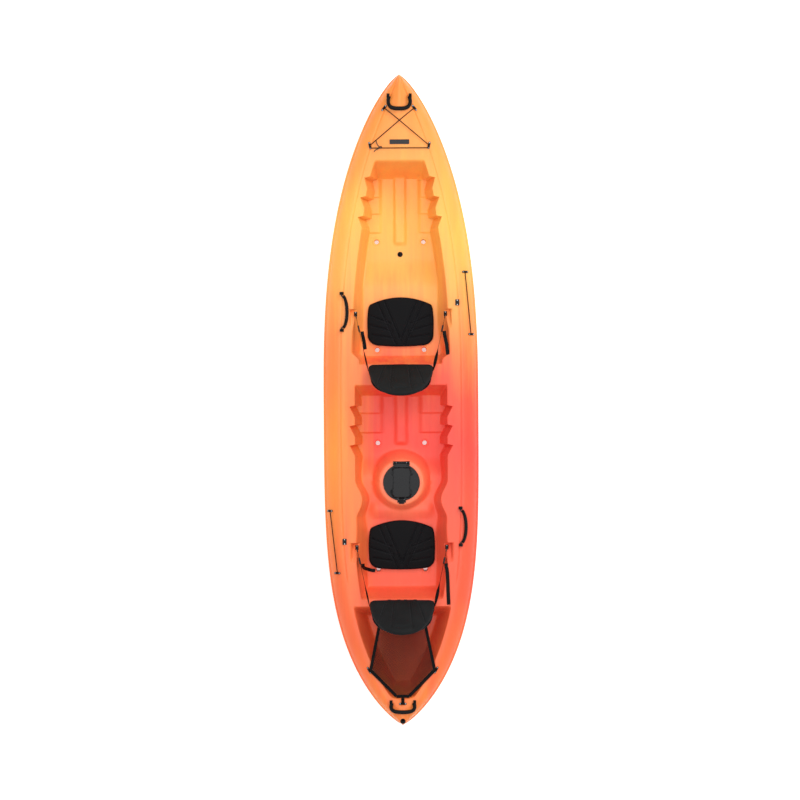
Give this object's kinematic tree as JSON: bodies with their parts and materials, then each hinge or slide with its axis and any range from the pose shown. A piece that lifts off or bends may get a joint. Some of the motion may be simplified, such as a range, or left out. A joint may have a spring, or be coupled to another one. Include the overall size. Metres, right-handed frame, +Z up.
{
  "type": "sit-on-top kayak",
  "caption": "Tandem sit-on-top recreational kayak with moulded footwells, padded seats with folding backrests, round day hatch, carry handles and netted tank well",
  "frame": {"origin": "under the middle of the hull, on the ground the bottom stands on (centre of the overall box's underside)", "axes": "+Y runs to the bow, +X to starboard, +Z up"},
  "size_m": [0.878, 3.658, 0.5253],
  "materials": {
    "hull_plastic": "rotomoulded polyethylene, fine orange-peel, marbled from red-orange amidships to yellow forward",
    "foam": "closed-cell flotation foam",
    "insert_plastic": "moulded polypropylene",
    "plug_rubber": "moulded rubber",
    "fitting_plastic": "glass-filled nylon, fine texture",
    "lid_plastic": "moulded, satin to glossy",
    "gasket_rubber": "extruded rubber",
    "steel": "stainless steel, turned",
    "seat_fabric": "woven nylon over foam, stitched",
    "webbing": "woven polypropylene webbing",
    "handle_rubber": "moulded rubber, ribbed",
    "cord": "braided cord",
    "net_mesh": "knitted mesh",
    "plate": "domed vinyl, blank"
  },
  "bodies": {
    "hull": {"aft_deck_moulding": "hull_plastic", "fore_deck_moulding": "hull_plastic", "hull_moulding": "hull_plastic", "scupper_tubes": "hull_plastic", "foam_blocks": "foam", "plug_inserts": "insert_plastic", "hatch_rim": "fitting_plastic", "hatch_bucket": "insert_plastic", "hatch_gasket": "gasket_rubber", "hatch_hinge_pin": "steel", "hatch_screws": "steel", "front_seat_pad": "seat_fabric", "rear_seat_pad": "seat_fabric", "front_back_saddles": "fitting_plastic", "rear_back_saddles": "fitting_plastic", "front_back_rod": "steel", "rear_back_rod": "steel", "front_strap_starboard": "webbing", "front_strap_port": "webbing", "rear_strap_starboard": "webbing", "rear_strap_port": "webbing", "strap_pad_eyes": "fitting_plastic", "strap_hooks": "fitting_plastic", "handle_anchors": "handle_rubber", "bow_pad_eyes": "fitting_plastic", "deck_lacing": "cord", "lacing_knot": "cord", "keeper_eyelets": "fitting_plastic", "paddle_keeper_cords": "cord", "paddle_keeper_hooks": "fitting_plastic", "fitting_screws": "steel", "tankwell_net": "net_mesh", "net_webbing": "webbing", "net_pad_eyes": "fitting_plastic", "name_plate": "plate"},
    "hatch_lid": {"hatch_lid": "lid_plastic", "hatch_latch_pin": "steel"},
    "hatch_latch": {"hatch_latch": "fitting_plastic"},
    "front_backrest": {"front_backrest": "seat_fabric", "front_backrest_board": "fitting_plastic"},
    "rear_backrest": {"rear_backrest": "seat_fabric", "rear_backrest_board": "fitting_plastic"},
    "front_adjuster_starboard": {"front_adjuster_starboard": "fitting_plastic", "front_tail_starboard": "webbing"},
    "front_adjuster_port": {"front_adjuster_port": "fitting_plastic", "front_tail_port": "webbing"},
    "rear_adjuster_starboard": {"rear_adjuster_starboard": "fitting_plastic", "rear_tail_starboard": "webbing"},
    "rear_adjuster_port": {"rear_adjuster_port": "fitting_plastic", "rear_tail_port": "webbing"},
    "bow_handle": {"bow_handle_loop": "cord", "bow_handle_grip": "handle_rubber"},
    "stern_handle": {"stern_handle_loop": "cord", "stern_handle_grip": "handle_rubber"},
    "port_handle": {"port_handle_loop": "cord", "port_handle_grip": "handle_rubber"},
    "starboard_handle": {"starboard_handle_loop": "cord", "starboard_handle_grip": "handle_rubber"},
    "drain_plug": {"stern_drain_plug": "plug_rubber"},
    "footwell_plug": {"footwell_plug": "plug_rubber"}
  },
  "joints": [
    {"name": "hatch_lid_hinge", "type": "hinge", "parent": "hull", "child": "hatch_lid", "pos_m": [0, -0.354, 0.2256], "axis": [-1, 0, 0], "range_deg": [0, 115]},
    {"name": "hatch_latch_hinge", "type": "hinge", "parent": "hatch_lid", "child": "hatch_latch", "pos_m": [0, -0.563, 0.2276], "axis": [-1, 0, 0], "range_deg": [0, 90]},
    {"name": "front_backrest_hinge", "type": "hinge", "parent": "hull", "child": "front_backrest", "pos_m": [0, 0.19255, 0.27663], "axis": [-1, 0, 0], "range_deg": [0, 100], "deforming": ["front_strap_starboard", "front_strap_port"]},
    {"name": "rear_backrest_hinge", "type": "hinge", "parent": "hull", "child": "rear_backrest", "pos_m": [0, -1.13045, 0.30344], "axis": [-1, 0, 0], "range_deg": [0, 100], "deforming": ["rear_strap_starboard", "rear_strap_port"]},
    {"name": "front_adjuster_starboard_slide", "type": "slide", "parent": "hull", "child": "front_adjuster_starboard", "axis": [-0.2121, -0.9564, 0.2009], "range_m": [0, 0.06]},
    {"name": "front_adjuster_port_slide", "type": "slide", "parent": "hull", "child": "front_adjuster_port", "axis": [0.2121, -0.9564, 0.2009], "range_m": [0, 0.06]},
    {"name": "rear_adjuster_starboard_slide", "type": "slide", "parent": "hull", "child": "rear_adjuster_starboard", "axis": [-0.2077, -0.9454, 0.2512], "range_m": [0, 0.06]},
    {"name": "rear_adjuster_port_slide", "type": "slide", "parent": "hull", "child": "rear_adjuster_port", "axis": [0.2077, -0.9454, 0.2512], "range_m": [0, 0.06]},
    {"name": "bow_handle_hinge", "type": "hinge", "parent": "hull", "child": "bow_handle", "pos_m": [0, 1.702, 0.38753], "axis": [-1, 0, 0], "range_deg": [0, 110]},
    {"name": "stern_handle_hinge", "type": "hinge", "parent": "hull", "child": "stern_handle", "pos_m": [0, -1.695, 0.35415], "axis": [-1, 0, 0], "range_deg": [0, 110]},
    {"name": "port_handle_hinge", "type": "hinge", "parent": "hull", "child": "port_handle", "pos_m": [-0.33132, 0.499, 0.27715], "axis": [0, -1, 0], "range_deg": [0, 150]},
    {"name": "starboard_handle_hinge", "type": "hinge", "parent": "hull", "child": "starboard_handle", "pos_m": [0.33236, -0.715, 0.28114], "axis": [0, -1, 0], "range_deg": [0, 150]},
    {"name": "drain_plug_pull", "type": "slide", "parent": "hull", "child": "drain_plug", "axis": [0, 0, 1], "range_m": [0, 0.03]},
    {"name": "footwell_plug_pull", "type": "slide", "parent": "hull", "child": "footwell_plug", "axis": [0, 0, 1], "range_m": [0, 0.03]}
  ]
}
